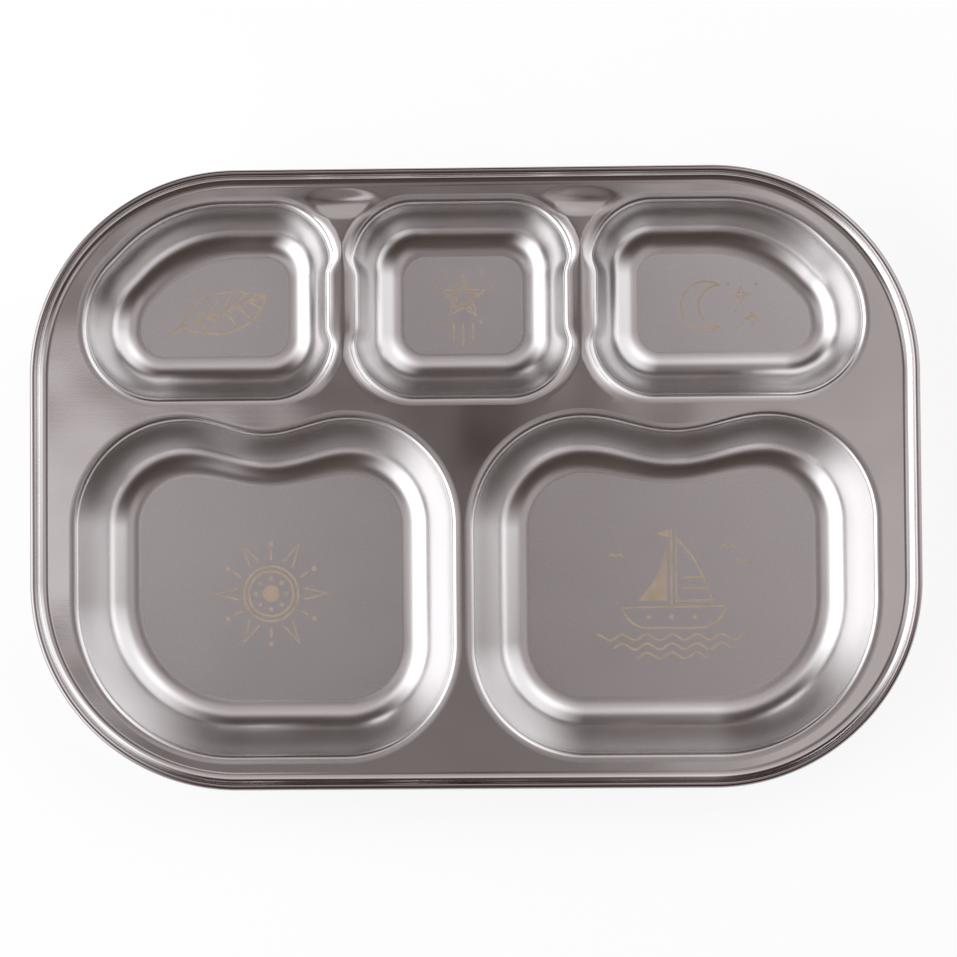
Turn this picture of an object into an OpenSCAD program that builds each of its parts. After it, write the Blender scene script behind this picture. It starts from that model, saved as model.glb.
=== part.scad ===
// Serving tray with five wells, pressed from one sheet of stainless steel.
// X runs along the tray, Y from its front to its back and Z up. The origin is under the middle of the
// tray, on the surface that the well floors stand on. The two large wells are at the front.
// The pressing is divided into regions that meet face to face: the rolled rim, the cove inside it, the
// flat deck, and a wall and a floor for each well.

/* [Tray] */
// Length of the tray over its rolled rim
tray_w = 268; // [250:1:300]
// Depth of the tray over its rolled rim, front to back
tray_d = 187; // [175:1:210]
// Height of the rim above the table
tray_h = 23; // [18:0.5:30]
// Corner radius of the rim, seen from above
corner_r = 62.5; // [50:0.5:68]
// Thickness of the steel sheet
sheet = 0.6; // [0.4:0.05:0.8]

/* [Rim] */
// Outside diameter of the rolled edge
bead_d = 2.8; // [2.4:0.1:3.6]
// Angle through which the edge is rolled
bead_turn = 300; // [180:10:310]
// Width of the cove between the rolled edge and the deck
cove_w = 2.6; // [1.5:0.1:3.5]
// Height of the cove, from the middle of the rolled edge down to the deck
cove_h = 1.6; // [1.2:0.1:3]

/* [Deck] */
// Flat land between the cove and the front wells, at each end of the tray
end_land = 7.4; // [5:0.1:9]
// Flat land between the cove and the wells, along the front and the back
long_land = 3.65; // [2.5:0.05:6]
// Flat strip between the front row and the back row
row_gap = 4; // [3:0.1:7]
// Flat strip between neighbouring wells of a row
well_gap = 3.8; // [3:0.1:7]
// Place along X of the divider between the front wells
divider_x = -3.5; // [-8:0.5:8]
// Mouth of the back wells, front to back
back_mouth_d = 61.2; // [55:0.1:66]
// Mouth of the back centre well, side to side
centre_mouth_w = 68.4; // [60:0.1:74]

/* [Well walls] */
// Radius over which the sheet bends down at the mouth of a well
lip_r = 2; // [1:0.1:3]
// Radius at the foot of a well wall
foot_r = 8.2; // [5:0.1:9]
// Run of a front well's wall from its mouth to its floor, seen from above
front_run = 17; // [14:0.1:19]
// Run of a back well's wall from its mouth to its floor, seen from above
back_run = 15; // [13:0.1:16]
// Smallest corner radius of a floor, seen from above
floor_corner_r = 7; // [4:0.5:10]

/* [Front wells] */
// Radius of the mouth at the corners beside the divider
front_inner_r = 34.5; // [28:0.5:38]
// Radius of the mouth at the outer back corners
front_back_r = 33; // [28:0.5:38]
// Radius of the mouth at the outer front corners
front_outer_r = 48; // [40:0.5:52]
// Depth of the wave in the back edge of the mouth
wave_mouth = 4.8; // [0:0.1:7]
// Depth of the wave in the back edge of the floor
wave_floor = 3.4; // [0:0.1:6]

/* [Back wells] */
// Radius of the mouth corners of the back wells, away from the tray's own corners
back_inner_r = 19.5; // [16:0.5:22]
// Radius of the first bend of the swept outer side, at the back edge
sweep_back_r = 44; // [36:0.5:46]
// Radius of the middle bend of the swept outer side
sweep_mid_r = 29; // [22:0.5:32]
// Radius of the last bend of the swept outer side, at the front edge
sweep_front_r = 24.5; // [20:0.5:26]
// Radius of the first bend of the sweep where it reaches the floor
sweep_floor_r = 38; // [20:0.5:40]
// Distance of the sweep's back bend inwards from the front wells' ends
sweep_back_in = 28; // [24:0.5:32]
// Distance of the sweep's middle bend inwards from the front wells' ends
sweep_mid_in = 3.8; // [3:0.1:6]
// Distance of the sweep's middle bend in front of the back edge of the mouth
sweep_mid_down = 24.5; // [22:0.5:28]
// Length of the shallow pinch in the sides of the back wells that face each other
pinch_len = 15; // [8:0.5:18]
// Length of the ramp at each end of the pinch
pinch_ramp = 7; // [4:0.5:9]
// Depth of the pinch at the mouth
pinch_depth = 1.6; // [0:0.1:2]

/* [Smoothness] */
// Degrees of turn for each facet of a well corner
arc_step = 9; // [5:1:15]
// Facets along an edge that is waved or pinched
edge_steps = 14; // [8:2:20]
// Facets over the lip of a well wall
lip_steps = 3; // [2:1:5]
// Facets over the foot of a well wall
foot_steps = 4; // [3:1:6]
// Degrees for each facet of the rolled edge and the cove
roll_step = 10; // [9:1:15]
// Facets in a full turn of the rim and the deck, seen from above
turn_facets = 96; // [48:12:144]

/* [Hidden] */

bead_z = tray_h - bead_d / 2;
deck_z = bead_z - cove_h;
rim_w = bead_d + cove_w;
deck_corner_r = corner_r - rim_w;
straight_x = tray_w - 2 * corner_r;
straight_y = tray_d - 2 * corner_r;
well_depth = deck_z - sheet;
cut_over = sheet;
// Largest share of an edge that the arcs at its two ends take together
arc_share = 0.97;

// Lines that the well mouths keep to
mouth_x = tray_w / 2 - rim_w - end_land;
mouth_front = -(tray_d / 2 - rim_w - long_land);
mouth_back = tray_d / 2 - rim_w - long_land;
back_row_front = mouth_back - back_mouth_d;
front_row_back = back_row_front - row_gap;
pinch_y = (back_row_front + mouth_back) / 2;
centre_left = divider_x - centre_mouth_w / 2;
centre_right = divider_x + centre_mouth_w / 2;
divider_left = divider_x - well_gap / 2;
divider_right = divider_x + well_gap / 2;

// The mouth of each well as corners [x, y, radius], counter-clockwise from its front right corner. A
// fourth number is the radius of the corner at the floor, where that isn't simply what the wall leaves
front_left_corners = [[divider_left, mouth_front, front_inner_r],
                      [divider_left, front_row_back, front_back_r],
                      [-mouth_x, front_row_back, front_back_r],
                      [-mouth_x, mouth_front, front_outer_r]];
front_right_corners = [[mouth_x, mouth_front, front_outer_r],
                       [mouth_x, front_row_back, front_back_r],
                       [divider_right, front_row_back, front_inner_r],
                       [divider_right, mouth_front, front_inner_r]];
back_centre_corners = [[centre_right, back_row_front, back_inner_r],
                       [centre_right, mouth_back, back_inner_r],
                       [centre_left, mouth_back, back_inner_r],
                       [centre_left, back_row_front, back_inner_r]];
back_right_corners = [[mouth_x, back_row_front, sweep_front_r],
                      [mouth_x - sweep_mid_in, mouth_back - sweep_mid_down, sweep_mid_r],
                      [mouth_x - sweep_back_in, mouth_back, sweep_back_r, sweep_floor_r],
                      [centre_right + well_gap, mouth_back, back_inner_r],
                      [centre_right + well_gap, back_row_front, back_inner_r]];
back_left_corners = [[centre_left - well_gap, back_row_front, back_inner_r],
                     [centre_left - well_gap, mouth_back, back_inner_r],
                     [-mouth_x + sweep_back_in, mouth_back, sweep_back_r, sweep_floor_r],
                     [-mouth_x + sweep_mid_in, mouth_back - sweep_mid_down, sweep_mid_r],
                     [-mouth_x, back_row_front, sweep_front_r]];

// Each well as [corners, run of its wall, edge that is waved or -1, sides that are pinched]
front_left = [fitted(front_left_corners), front_run, 1, []];
front_right = [fitted(front_right_corners), front_run, 1, []];
back_centre = [fitted(back_centre_corners), back_run, -1, [-1, 1]];
back_left = [fitted(back_left_corners), back_run, -1, [1]];
back_right = [fitted(back_right_corners), back_run, -1, [-1]];

// The neighbour at a step along a closed list
function near(list, i, step) = list[(i + step + len(list)) % len(list)];

function unit(a) = [cos(a), sin(a)];
function xy(p) = [p[0], p[1]];

// Heading of the edge that leaves corner i, and how far the outline turns at that corner
function heading(c, i) =
    let (d = xy(near(c, i, 1)) - xy(c[i]))
    atan2(d[1], d[0]);
function turn_at(c, i) =
    let (t = heading(c, i) - heading(c, (i - 1 + len(c)) % len(c)))
    t < 0 ? t + 360 : t;

// Distance from corner i to the ends of its arc, and the share of the edge it leaves by that arcs take
function reach(c, i) = c[i][2] * tan(turn_at(c, i) / 2);
function taken(c, i) =
    let (j = (i + 1) % len(c))
    (reach(c, i) + reach(c, j)) / norm(xy(c[j]) - xy(c[i]));

// Corners whose radii are held back where two arcs would meet on a short edge
function fitted(c) =
    [for (i = [0:len(c) - 1])
        let (most = max(taken(c, i), taken(c, (i - 1 + len(c)) % len(c))))
        [c[i][0], c[i][1], c[i][2] * min(1, arc_share / most), c[i][3]]];

// Centre of the arc at corner i
function arc_centre(c, i) =
    let (into = heading(c, i) - turn_at(c, i))
    xy(c[i]) - reach(c, i) * unit(into) + c[i][2] * unit(into + 90);

// Points of the arc at corner i, and of the edge that leaves it, with n facets along that edge
function arc_points(c, i) =
    let (turn = turn_at(c, i), steps = max(2, ceil(turn / arc_step)), into = heading(c, i) - turn)
    [for (k = [0:steps]) arc_centre(c, i) + c[i][2] * unit(into - 90 + turn * k / steps)];
function edge_points(c, i, n) =
    let (j = (i + 1) % len(c),
         a = arc_centre(c, i) + c[i][2] * unit(heading(c, i) - 90),
         b = arc_centre(c, j) + c[j][2] * unit(heading(c, i) - 90))
    n < 2 ? [] : [for (k = [1:n - 1]) a + (b - a) * k / n];

// Corners moved inwards by a run, for the outline of a floor
function inset(c, run) =
    [for (i = [0:len(c) - 1])
        let (half = turn_at(c, i) / 2,
             p = xy(c[i]) + run / cos(half) * unit(heading(c, i) - half + 90))
        [p[0], p[1], is_undef(c[i][3]) ? max(c[i][2] - run, floor_corner_r) : c[i][3]]];

// A wave falls smoothly from 1 at its middle to 0 one half width away
function wave(x, half) = abs(x) < half ? (1 + cos(180 * x / half)) / 2 : 0;
// A pinch is 1 along its length and falls smoothly to 0 over its ramps
function pinch(y) =
    let (t = max(0, min(1, (abs(y - pinch_y) - pinch_len / 2) / pinch_ramp)))
    (1 + cos(180 * t)) / 2;

// Whether the edge that leaves corner i is pinched: it runs along Y on a side that is named
function is_pinched(w, i) =
    len([for (side = w[3]) if (side * sin(heading(w[0], i)) > cos(arc_step)) side]) > 0;

// How far the wave and the pinch move a point of the outline
function moved(p, w, c, wave_depth, pinch_d) =
    let (e = w[2],
         a = e < 0 ? 0 : arc_centre(c, e)[0],
         b = e < 0 ? 0 : arc_centre(c, e + 1)[0],
         edge_y = e < 0 ? 0 : c[e][1] - c[e][2],
         drop = e < 0 || p[1] < edge_y ? 0 : wave_depth * wave(p[0] - (a + b) / 2, abs(a - b) / 2),
         mid = (min([for (q = c) q[0]]) + max([for (q = c) q[0]])) / 2,
         side = sign(p[0] - mid),
         in = len([for (s = w[3]) if (s == side) s]) > 0 ? pinch_d * pinch(p[1]) : 0)
    [p[0] - side * in, p[1] - drop];

// Outline of a well's mouth or floor, as points that match one another in number and order
function outline(w, c, wave_depth, pinch_d) =
    [for (i = [0:len(c) - 1])
        each [for (p = concat(arc_points(c, i),
                              edge_points(c, i, i == w[2] || is_pinched(w, i) ? edge_steps : 1)))
              moved(p, w, c, wave_depth, pinch_d)]];
function mouth(w) = outline(w, w[0], wave_mouth, pinch_depth);
function floor_edge(w) = outline(w, fitted(inset(w[0], w[1])), wave_floor, 0);

// Slope of the straight part of a wall, tangent to its lip and its foot
function wall_slope(run) =
    let (bends = lip_r + foot_r,
         fall = well_depth - bends,
         straight = sqrt(run * run + fall * fall - bends * bends))
    atan2(bends * run + straight * fall, straight * run - bends * fall);

// Section of a wall as [run from the mouth, fall from the deck, slope], from the lip to the foot
function wall_section(run) =
    let (slope = wall_slope(run))
    concat([for (k = [0:lip_steps])
                let (a = slope * k / lip_steps) [lip_r * sin(a), lip_r * (1 - cos(a)), a]],
           [for (k = [0:foot_steps])
                let (a = slope * (1 - k / foot_steps))
                [run - foot_r * sin(a), well_depth - foot_r * (1 - cos(a)), a]]);

// Outward normal of a closed outline at point i
function outward(pts, i) =
    let (d = near(pts, i, 1) - near(pts, i, -1))
    [d[1], -d[0]] / norm(d);

// One ring of the wall, on the upper face of the sheet or, moved by its thickness, on the lower face
function wall_ring(w, top, bottom, at, thick) =
    let (share = at[0] / w[1],
         pts = [for (i = [0:len(top) - 1]) top[i] * (1 - share) + bottom[i] * share])
    [for (i = [0:len(pts) - 1])
        let (p = pts[i] + thick * sin(at[2]) * outward(pts, i))
        [p[0], p[1], deck_z - at[1] - thick * cos(at[2])]];

// Triangles that join ring a to ring b of a closed grid, with n points in each ring
function band(a, b, n) =
    [for (i = [0:n - 1])
        let (j = (i + 1) % n)
        each [[a * n + i, b * n + i, b * n + j], [a * n + i, b * n + j, a * n + j]]];

module well_wall(w) {
    top = mouth(w);
    bottom = floor_edge(w);
    section = wall_section(w[1]);
    rings = concat([for (at = section) wall_ring(w, top, bottom, at, 0)],
                   [for (k = [len(section) - 1:-1:0]) wall_ring(w, top, bottom, section[k], sheet)]);
    faces = [for (k = [0:len(rings) - 1]) each band(k, (k + 1) % len(rings), len(top))];
    polyhedron(points = [for (r = rings) each r], faces = faces);
}

module well_floor(w) {
    linear_extrude(height = sheet)
        polygon(floor_edge(w));
}

// A section of the rim is drawn as [distance in from the tray's edge, height]. Half of the rim is two
// straight sides and two corners, and the other half is the same turned round
module straight_side(section, length, half) {
    rotate([90, 0, 0])
        linear_extrude(height = length, center = true)
            polygon([for (p = section) [half - p[0], p[1]]]);
}

module rim_corner(section) {
    translate([straight_x / 2, straight_y / 2, 0])
        rotate_extrude(angle = 90, $fn = turn_facets)
            polygon([for (p = section) [corner_r - p[0], p[1]]]);
}

module around_rim(section) {
    for (side = [0, 180])
        rotate([0, 0, side]) {
            straight_side(section, straight_y, tray_w / 2);
            rotate([0, 0, 90])
                straight_side(section, straight_x, tray_d / 2);
            rim_corner(section);
            mirror([1, 0, 0])
                rim_corner(section);
        }
}

// A flat slab with the deck's outline
module deck_slab() {
    translate([0, 0, deck_z - sheet]) {
        translate([-straight_x / 2, -straight_y / 2 - deck_corner_r, 0])
            cube([straight_x, straight_y + 2 * deck_corner_r, sheet]);
        translate([-straight_x / 2 - deck_corner_r, -straight_y / 2, 0])
            cube([straight_x + 2 * deck_corner_r, straight_y, sheet]);
        for (x = [-straight_x / 2, straight_x / 2], y = [-straight_y / 2, straight_y / 2])
            translate([x, y, 0])
                cylinder(h = sheet, r = deck_corner_r, $fn = turn_facets);
    }
}

module rim_curl() {
    steps = ceil(bead_turn / roll_step);
    outer = bead_d / 2;
    inner = outer - sheet;
    color("silver")
        around_rim(concat([for (k = [0:steps])
                               [outer, bead_z] + outer * unit(bead_turn * k / steps)],
                          [for (k = [steps:-1:0])
                               [outer, bead_z] + inner * unit(bead_turn * k / steps)]));
}

module rim_step() {
    steps = ceil(90 / roll_step);
    upper = [for (k = [0:steps])
                 let (a = 90 * k / steps) [rim_w - cove_w * cos(a), bead_z - cove_h * sin(a)]];
    lower = [for (k = [steps:-1:0])
                 let (a = 90 * k / steps, n = [cove_h * cos(a), cove_w * sin(a)])
                 upper[k] - sheet * n / norm(n)];
    color("silver")
        around_rim(concat(upper, lower));
}

module deck() {
    color("darkgray")
        difference() {
            deck_slab();
            for (w = [front_left, front_right, back_left, back_centre, back_right])
                translate([0, 0, deck_z - sheet - cut_over])
                    linear_extrude(height = sheet + 2 * cut_over)
                        polygon(mouth(w));
        }
}

module back_left_well_wall() {
    color("lightgray") well_wall(back_left);
}

module back_left_well_floor() {
    color("gray") well_floor(back_left);
}

module back_centre_well_wall() {
    color("lightgray") well_wall(back_centre);
}

module back_centre_well_floor() {
    color("gray") well_floor(back_centre);
}

module back_right_well_wall() {
    color("lightgray") well_wall(back_right);
}

module back_right_well_floor() {
    color("gray") well_floor(back_right);
}

module front_left_well_wall() {
    color("lightgray") well_wall(front_left);
}

module front_left_well_floor() {
    color("gray") well_floor(front_left);
}

module front_right_well_wall() {
    color("lightgray") well_wall(front_right);
}

module front_right_well_floor() {
    color("gray") well_floor(front_right);
}

rim_curl();
rim_step();
deck();
back_left_well_wall();
back_left_well_floor();
back_centre_well_wall();
back_centre_well_floor();
back_right_well_wall();
back_right_well_floor();
front_left_well_wall();
front_left_well_floor();
front_right_well_wall();
front_right_well_floor();
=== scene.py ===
"""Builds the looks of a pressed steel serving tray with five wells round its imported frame.

Lengths are in metres, in the frame's own axes: X along the tray, Y from the front row of wells to the
back row, Z up. Each region of the pressing is one piece, and the pieces share their edges.
"""

import math

import bpy
import numpy as np
from bpy.props import FloatProperty, FloatVectorProperty, PointerProperty
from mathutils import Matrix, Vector
from mathutils.geometry import delaunay_2d_cdt
from mathutils.kdtree import KDTree


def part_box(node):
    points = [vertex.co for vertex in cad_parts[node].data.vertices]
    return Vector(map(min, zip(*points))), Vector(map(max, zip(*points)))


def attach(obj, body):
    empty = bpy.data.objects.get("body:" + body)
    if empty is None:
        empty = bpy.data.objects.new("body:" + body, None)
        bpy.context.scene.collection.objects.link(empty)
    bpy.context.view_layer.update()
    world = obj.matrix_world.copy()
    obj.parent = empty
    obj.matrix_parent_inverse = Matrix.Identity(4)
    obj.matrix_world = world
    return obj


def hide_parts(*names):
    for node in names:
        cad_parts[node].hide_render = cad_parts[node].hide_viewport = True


bl_info = {
    "name": "Pressed steel tray",
    "version": (1, 0, 0),
    "blender": (4, 5, 0),
    "location": "View3D > Sidebar > Tray",
    "description": "A divided serving tray of pressed steel, built round its packed frame",
    "category": "Object",
}

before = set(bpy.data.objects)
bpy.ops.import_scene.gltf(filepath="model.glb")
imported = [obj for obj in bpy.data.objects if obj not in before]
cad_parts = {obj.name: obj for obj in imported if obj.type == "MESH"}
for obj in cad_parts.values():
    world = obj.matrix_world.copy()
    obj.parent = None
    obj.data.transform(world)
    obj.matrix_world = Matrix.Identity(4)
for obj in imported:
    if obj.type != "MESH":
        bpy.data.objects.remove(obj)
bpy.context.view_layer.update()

MM = 0.001
BODY = "root"
WELLS = ("back_left", "back_centre", "back_right", "front_left", "front_right")
# Middle of each etched picture from the middle of its floor, in millimetres
MARK_SHIFTS = {"back_left": (2.4, -1.6), "back_centre": (0, 0), "back_right": (-2, -1),
               "front_left": (0, -2), "front_right": (0, -1.6)}
# Largest share of an edge that the arcs at its two ends take together
ARC_SHARE = 0.97
# Fewest mesh steps in an arc of an outline
ARC_STEPS = 4
# Height from the top of one etched line to the next one's
TOP_STEP = 0.0004 * MM
# Half sizes of a deck hollow along X and Y, and how far in front of the mouths' back edge its middle lies
HOLLOW_HALF = np.array([14, 5]) * MM
HOLLOW_IN = 1 * MM
# How a bank of the deck ends: the turn from facing the divider, as 1 less its cosine, the depth that
# it loses at the pinch, the depth that it keeps in front, the length of that change and its curve
BANK_TURN = 0.8
BANK_PINCH_LOSS = 0.35
BANK_FRONT_SHARE = 0.6
BANK_FRONT_RAMP = 10 * MM
BANK_CURVE = 1.4
# Steps in the sections of the bead and the cove
BEAD_STEPS = 60
COVE_STEPS = 18
# How much finer the mesh is in a detailed rectangle, and the room that its points leave to an outline,
# in steps
FINER = 4
LEAST_ROOM = 0.6
# Distances that count as none
TINY, SAME_POINT = 1e-6, 1e-9
# Distance over which the direction of a wall's run is measured
PROBE = 0.1 * MM
# Least cosine of a bend that a line's mitre follows
MITRE_LIMIT = 0.6
# Spread of the roughness about its value, and cells per metre of its clouds and of slow ripples
GLOSS_SPREAD = 0.03
GLOSS_CELLS = 60.0
RIPPLE_CELLS = 26.0
# Cells per metre of the rolling lines, along and across the sheet
ROLLING_CELLS = (12.0, 900.0, 900.0)
# Place of the camera above the tray, its turn in degrees, its sensor in millimetres and its reach
CAMERA_PLACE = np.array([26.3, -32.05, 922.5]) * MM
CAMERA_TURN = (2.0, 1.6, -0.441)
SENSOR_WIDTH = 36
CAMERA_REACH = 20
# Half size of the stage's floor, how far it lies under the tray, its grey for the light that it gives
# back, and its grey and glow where the camera or a reflection shows it
FLOOR_HALF = 6.0
FLOOR_DROP = 0.05 * MM
FLOOR_GREY, SEEN_GREY, SEEN_GLOW = 0.8, 0.3, 0.8
# Rows and columns of the light tent's mesh
TENT_ROWS, TENT_COLUMNS = 90, 72
# Tints of the tent's dim, middle and full light, and where the middle one lies
TINT_DIM, TINT_MIDDLE, TINT_FULL = (1.4, 0.9, 0.76, 1), (1.12, 0.955, 0.94, 1), (1, 0.98, 1, 1)
TINT_MIDDLE_AT = 0.14
# Lights of the tent: the setting and the share of it, then in degrees the middle azimuth, half width and
# fade to the sides, and the lowest height, highest height and fade up and down
LIGHTS = (("left_light", 1, 188, 18, 45, 9, 48, 12),
          ("right_light", 1, 34, 18, 40, 10, 58, 9),
          ("strips", 1, 90, 40, 30, 48, 70, 10),
          ("strips", 1, 312, 55, 30, 9, 18, 6),
          ("overhead", 1.2, 177, 10, 18, 58, 80, 4),
          ("overhead", 0.75, 5, 40, 40, 66, 81, 5),
          ("overhead", 0.13, 270, 45, 30, 50, 80, 6))
# Lowest full height of the cloth round the camera and its fade, in degrees
TOP_LOW, TOP_FADE = 78, 8
# Shade of the camera itself: the share of light that it takes and its fade from straight above
CAMERA_SHADE, CAMERA_FADE = 0.45, 4.5
# Broad shade at the back: the share that it takes, which the fill's setting lessens, then its place as
# a light's
BACK_SHADE = (0.3, 90, 50, 40, 60, 82, 3)
# Small dark shade beside the camera: azimuth, height, share, half width and fade
SPOT_AZIMUTH, SPOT_HEIGHT, SPOT_SHARE, SPOT_HALF, SPOT_FADE = 110, 86.1, 0.95, 0.9, 2.1


def node_box(node):
    low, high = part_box(node)
    return np.array(low), np.array(high)


RIM_HIGH, STEP_HIGH, DECK_HIGH = (node_box(node)[1] for node in ("rim_curl", "rim_step", "deck"))
# Outer ends of the front wells, which the corners of the back wells keep to as well
FRONT_LOW, FRONT_HIGH = node_box("front_left_well_wall")[0], node_box("front_right_well_wall")[1]
SHEET = float(node_box("front_left_well_floor")[1][2])
RIM_WIDTH = float(RIM_HIGH[0] - DECK_HIGH[0])
BEAD_WIDTH = float(RIM_HIGH[0] - STEP_HIGH[0])


class TraySizes(bpy.types.PropertyGroup):
    """Sizes of the pressing that a user may change."""

    corner_radius: FloatProperty(
        name="Corner radius", description="Radius of the rim's corners, seen from above",
        default=62.5 * MM, min=40 * MM, max=80 * MM, unit="LENGTH", precision=5)
    bead_diameter: FloatProperty(
        name="Bead diameter", description="Outside diameter of the rolled edge",
        default=BEAD_WIDTH, min=2 * MM, max=5 * MM, unit="LENGTH", precision=5)
    bead_turn: FloatProperty(
        name="Bead turn", description="Angle through which the edge is rolled",
        default=math.radians(300), min=math.pi, max=math.radians(320), subtype="ANGLE")
    lip_radius: FloatProperty(
        name="Lip radius", description="Radius over which the sheet bends down into a well",
        default=2 * MM, min=MM, max=3 * MM, unit="LENGTH", precision=5)
    front_foot_radius: FloatProperty(
        name="Front foot radius", description="Radius at the foot of a front well's wall",
        default=12 * MM, min=6 * MM, max=15 * MM, unit="LENGTH", precision=5)
    back_foot_radius: FloatProperty(
        name="Back foot radius", description="Radius at the foot of a back well's wall",
        default=11.2 * MM, min=6 * MM, max=15 * MM, unit="LENGTH", precision=5)
    foot_slope: FloatProperty(
        name="Foot slope", description="Slope at which the bowed wall passes into its foot",
        default=math.radians(55), min=math.radians(40), max=math.radians(65), subtype="ANGLE")
    shoulder_width: FloatProperty(
        name="Shoulder width", description="Width of the deck's shallow fall round a well's mouth",
        default=1.4 * MM, min=0.2 * MM, max=2 * MM, unit="LENGTH", precision=5)
    shoulder_slope: FloatProperty(
        name="Shoulder slope", description="Slope of the shallow fall where it meets the lip",
        default=math.radians(8), min=math.radians(2), max=math.radians(15), subtype="ANGLE")
    front_run: FloatProperty(
        name="Front wall run", description="Run of a front well's wall, seen from above",
        default=17.6 * MM, min=12 * MM, max=20 * MM, unit="LENGTH", precision=5)
    back_run: FloatProperty(
        name="Back wall run", description="Run of a back well's wall, seen from above",
        default=15.6 * MM, min=12 * MM, max=18 * MM, unit="LENGTH", precision=5)
    floor_corner_radius: FloatProperty(
        name="Floor corner radius", description="Smallest corner radius of a well floor",
        default=7 * MM, min=4 * MM, max=10 * MM, unit="LENGTH", precision=5)
    front_inner_radius: FloatProperty(
        name="Front inner radius", description="Corners of the front wells beside the divider",
        default=34.5 * MM, min=28 * MM, max=38 * MM, unit="LENGTH", precision=5)
    front_back_radius: FloatProperty(
        name="Front back radius", description="Outer back corners of the front wells",
        default=33 * MM, min=28 * MM, max=38 * MM, unit="LENGTH", precision=5)
    front_outer_radius: FloatProperty(
        name="Front outer radius", description="Outer front corners of the front wells",
        default=48 * MM, min=40 * MM, max=52 * MM, unit="LENGTH", precision=5)
    wave_mouth: FloatProperty(
        name="Wave at the mouth", description="Depth of the wave in a front well's back edge",
        default=4.8 * MM, min=0, max=7 * MM, unit="LENGTH", precision=5)
    wave_floor: FloatProperty(
        name="Wave at the floor", description="Depth of the wave in the floor's back edge",
        default=3.4 * MM, min=0, max=6 * MM, unit="LENGTH", precision=5)
    back_inner_radius: FloatProperty(
        name="Back inner radius", description="Corners of the back wells inside the row",
        default=19.5 * MM, min=16 * MM, max=22 * MM, unit="LENGTH", precision=5)
    sweep_back_radius: FloatProperty(
        name="Sweep back radius", description="First bend of the swept side, at the back edge",
        default=44 * MM, min=36 * MM, max=46 * MM, unit="LENGTH", precision=5)
    sweep_mid_radius: FloatProperty(
        name="Sweep middle radius", description="Middle bend of the swept side",
        default=29 * MM, min=22 * MM, max=32 * MM, unit="LENGTH", precision=5)
    sweep_front_radius: FloatProperty(
        name="Sweep front radius", description="Last bend of the swept side, at the front edge",
        default=24.5 * MM, min=20 * MM, max=26 * MM, unit="LENGTH", precision=5)
    sweep_floor_radius: FloatProperty(
        name="Sweep floor radius", description="First bend of the sweep where it reaches the floor",
        default=38 * MM, min=20 * MM, max=40 * MM, unit="LENGTH", precision=5)
    sweep_back_in: FloatProperty(
        name="Sweep back inset", description="Back bend of the sweep, inwards from the well's end",
        default=28 * MM, min=24 * MM, max=32 * MM, unit="LENGTH", precision=5)
    sweep_mid_in: FloatProperty(
        name="Sweep middle inset", description="Middle bend, inwards from the well's end",
        default=3.8 * MM, min=3 * MM, max=6 * MM, unit="LENGTH", precision=5)
    sweep_mid_down: FloatProperty(
        name="Sweep middle drop", description="Middle bend, in front of the mouth's back edge",
        default=24.5 * MM, min=22 * MM, max=28 * MM, unit="LENGTH", precision=5)
    pinch_length: FloatProperty(
        name="Pinch length", description="Length of the shallow pinch in the back wells' sides",
        default=15 * MM, min=8 * MM, max=18 * MM, unit="LENGTH", precision=5)
    pinch_ramp: FloatProperty(
        name="Pinch ramp", description="Length of the ramp at each end of the pinch",
        default=7 * MM, min=4 * MM, max=9 * MM, unit="LENGTH", precision=5)
    pinch_depth: FloatProperty(
        name="Pinch depth", description="Depth of the pinch at the mouth",
        default=1.6 * MM, min=0, max=2 * MM, unit="LENGTH", precision=5)
    pinch_fade: FloatProperty(
        name="Pinch fade", description="Run down the wall over which the pinch fades",
        default=7 * MM, min=3 * MM, max=14 * MM, unit="LENGTH", precision=5)
    hollow_depth: FloatProperty(
        name="Hollow depth", description="Depth of the shallow hollows of the deck beside the back wells",
        default=0.55 * MM, min=0, max=0.8 * MM, unit="LENGTH", precision=5)
    bank_width: FloatProperty(
        name="Bank width", description="Width of the soft fall of the deck beside the dividers",
        default=3 * MM, min=1.5 * MM, max=4 * MM, unit="LENGTH", precision=5)
    bank_depth: FloatProperty(
        name="Bank depth", description="Depth of the soft fall of the deck beside the dividers",
        default=0.75 * MM, min=0, max=0.9 * MM, unit="LENGTH", precision=5)
    mesh_step: FloatProperty(
        name="Mesh step", description="Distance between mesh points along an outline",
        default=1 * MM, min=0.5 * MM, max=4 * MM, unit="LENGTH", precision=5)


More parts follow.
